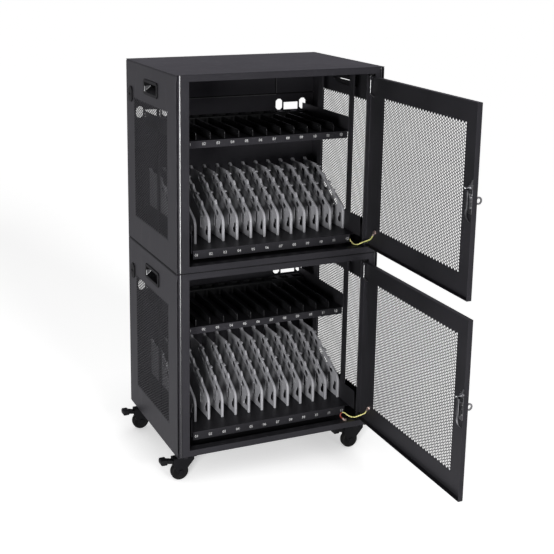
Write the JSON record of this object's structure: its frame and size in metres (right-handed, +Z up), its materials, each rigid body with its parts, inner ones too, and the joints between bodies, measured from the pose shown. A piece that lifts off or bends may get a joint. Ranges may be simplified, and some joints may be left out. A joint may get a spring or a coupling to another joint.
{
  "type": "charging cabinet",
  "caption": "Black steel charging cabinet of stacked modules on casters, with perforated doors and sides, numbered tablet slots, charger shelves and key locks.",
  "frame": {"origin": "on the floor, under the middle of the cabinet body", "axes": "+X to the right as seen from the front, +Y to the back, +Z up; the doors stand open towards -Y"},
  "size_m": [0.642, 0.938, 1.122],
  "materials": {
    "black_coat": "fine-textured black powder coat",
    "black_mesh": "perforated sheet in the same black coat",
    "grey_moulding": "grey moulded plastic with a fine spark texture",
    "black_moulding": "black moulded plastic",
    "zinc": "bright zinc plate",
    "key_steel": "nickel-plated key",
    "fork_steel": "black-coated pressed steel",
    "wheel_rubber": "black rubber-like tread",
    "wire_jacket": "yellow and green insulated earth wire",
    "terminal": "crimped terminal with a red sleeve"
  },
  "bodies": {
    "cabinet": {"lower_front_frame": "black_coat", "lower_top_panel": "black_coat", "lower_bottom_panel": "black_coat", "lower_left_side_panel": "black_coat", "lower_right_side_panel": "black_coat", "lower_side_meshes": "black_mesh", "lower_back_panel": "black_coat", "lower_shelf": "black_coat", "lower_shelf_dividers": "black_moulding", "lower_tray": "black_coat", "lower_tray_dividers": "grey_moulding", "lower_power_strip": "black_moulding", "lower_earth_wire": "wire_jacket", "upper_front_frame": "black_coat", "upper_top_panel": "black_coat", "upper_bottom_panel": "black_coat", "upper_left_side_panel": "black_coat", "upper_right_side_panel": "black_coat", "upper_side_meshes": "black_mesh", "upper_back_panel": "black_coat", "upper_shelf": "black_coat", "upper_shelf_dividers": "black_moulding", "upper_tray": "black_coat", "upper_tray_dividers": "grey_moulding", "upper_power_strip": "black_moulding", "upper_earth_wire": "wire_jacket", "rear_covers": "black_coat", "shelf_uprights": "black_coat", "side_handles": "black_moulding", "cable_anchors": "black_moulding", "hinge_blocks": "zinc", "frame_earth_terminals": "terminal", "caster_plates": "fork_steel", "caster_bolts": "zinc"},
    "lower_door": {"lower_door_frame": "black_coat", "lower_door_mesh": "black_mesh", "lower_door_hinge_pins": "zinc", "lower_door_lock_body": "zinc", "lower_door_earth_terminal": "terminal"},
    "lower_key": {"lower_door_key": "key_steel"},
    "lower_hook": {"lower_door_lock_hook": "zinc"},
    "upper_door": {"upper_door_frame": "black_coat", "upper_door_mesh": "black_mesh", "upper_door_hinge_pins": "zinc", "upper_door_lock_body": "zinc", "upper_door_earth_terminal": "terminal"},
    "upper_key": {"upper_door_key": "key_steel"},
    "upper_hook": {"upper_door_lock_hook": "zinc"},
    "front_left_fork": {"front_left_fork": "fork_steel"},
    "front_left_wheel": {"front_left_wheel": "wheel_rubber"},
    "front_left_pedal": {"front_left_pedal": "black_moulding"},
    "front_right_fork": {"front_right_fork": "fork_steel"},
    "front_right_wheel": {"front_right_wheel": "wheel_rubber"},
    "front_right_pedal": {"front_right_pedal": "black_moulding"},
    "rear_left_fork": {"rear_left_fork": "fork_steel"},
    "rear_left_wheel": {"rear_left_wheel": "wheel_rubber"},
    "rear_left_pedal": {"rear_left_pedal": "black_moulding"},
    "rear_right_fork": {"rear_right_fork": "fork_steel"},
    "rear_right_wheel": {"rear_right_wheel": "wheel_rubber"},
    "rear_right_pedal": {"rear_right_pedal": "black_moulding"}
  },
  "joints": [
    {"name": "lower_door_swing", "type": "hinge", "parent": "cabinet", "child": "lower_door", "pos_m": [0.2625, -0.203, 0.339], "axis": [0, 0, 1], "range_deg": [-89.3, 19], "deforming": ["lower_earth_wire"]},
    {"name": "lower_key_turn", "type": "hinge", "parent": "lower_door", "child": "lower_key", "pos_m": [0.2634, -0.70205, 0.339], "axis": [-0.9999, 0.0122, 0], "range_deg": [-90, 0]},
    {"name": "lower_hook_turn", "type": "hinge", "parent": "lower_door", "child": "lower_hook", "pos_m": [0.2634, -0.70205, 0.373], "axis": [-0.9999, 0.0122, 0], "range_deg": [-90, 0]},
    {"name": "upper_door_swing", "type": "hinge", "parent": "cabinet", "child": "upper_door", "pos_m": [0.2625, -0.203, 0.861], "axis": [0, 0, 1], "range_deg": [-88.3, 20], "deforming": ["upper_earth_wire"]},
    {"name": "upper_key_turn", "type": "hinge", "parent": "upper_door", "child": "upper_key", "pos_m": [0.25469, -0.70199, 0.861], "axis": [-0.9996, 0.0297, 0], "range_deg": [-90, 0]},
    {"name": "upper_hook_turn", "type": "hinge", "parent": "upper_door", "child": "upper_hook", "pos_m": [0.25469, -0.70199, 0.895], "axis": [-0.9996, 0.0297, 0], "range_deg": [-90, 0]},
    {"name": "front_left_swivel", "type": "hinge", "parent": "cabinet", "child": "front_left_fork", "pos_m": [-0.265, -0.174, 0.07], "axis": [0, 0, 1], "continuous": true},
    {"name": "front_left_roll", "type": "hinge", "parent": "front_left_fork", "child": "front_left_wheel", "pos_m": [-0.283, -0.174, 0.025], "axis": [0, 1, 0], "continuous": true},
    {"name": "front_left_brake", "type": "hinge", "parent": "front_left_fork", "child": "front_left_pedal", "pos_m": [-0.295, -0.174, 0.055], "axis": [0, 1, 0], "range_deg": [-15, 0]},
    {"name": "front_right_swivel", "type": "hinge", "parent": "cabinet", "child": "front_right_fork", "pos_m": [0.265, -0.174, 0.07], "axis": [0, 0, 1], "continuous": true},
    {"name": "front_right_roll", "type": "hinge", "parent": "front_right_fork", "child": "front_right_wheel", "pos_m": [0.247, -0.174, 0.025], "axis": [0, 1, 0], "continuous": true},
    {"name": "front_right_brake", "type": "hinge", "parent": "front_right_fork", "child": "front_right_pedal", "pos_m": [0.235, -0.174, 0.055], "axis": [0, 1, 0], "range_deg": [-15, 0]},
    {"name": "rear_left_swivel", "type": "hinge", "parent": "cabinet", "child": "rear_left_fork", "pos_m": [-0.265, 0.174, 0.07], "axis": [0, 0, 1], "continuous": true},
    {"name": "rear_left_roll", "type": "hinge", "parent": "rear_left_fork", "child": "rear_left_wheel", "pos_m": [-0.283, 0.174, 0.025], "axis": [0, 1, 0], "continuous": true},
    {"name": "rear_left_brake", "type": "hinge", "parent": "rear_left_fork", "child": "rear_left_pedal", "pos_m": [-0.295, 0.174, 0.055], "axis": [0, 1, 0], "range_deg": [-15, 0]},
    {"name": "rear_right_swivel", "type": "hinge", "parent": "cabinet", "child": "rear_right_fork", "pos_m": [0.265, 0.174, 0.07], "axis": [0, 0, 1], "continuous": true},
    {"name": "rear_right_roll", "type": "hinge", "parent": "rear_right_fork", "child": "rear_right_wheel", "pos_m": [0.247, 0.174, 0.025], "axis": [0, 1, 0], "continuous": true},
    {"name": "rear_right_brake", "type": "hinge", "parent": "rear_right_fork", "child": "rear_right_pedal", "pos_m": [0.235, 0.174, 0.055], "axis": [0, 1, 0], "range_deg": [-15, 0]}
  ],
  "couplings": [
    {"joint": "lower_hook_turn", "follows": "lower_key_turn", "ratio": 1},
    {"joint": "upper_hook_turn", "follows": "upper_key_turn", "ratio": 1}
  ]
}
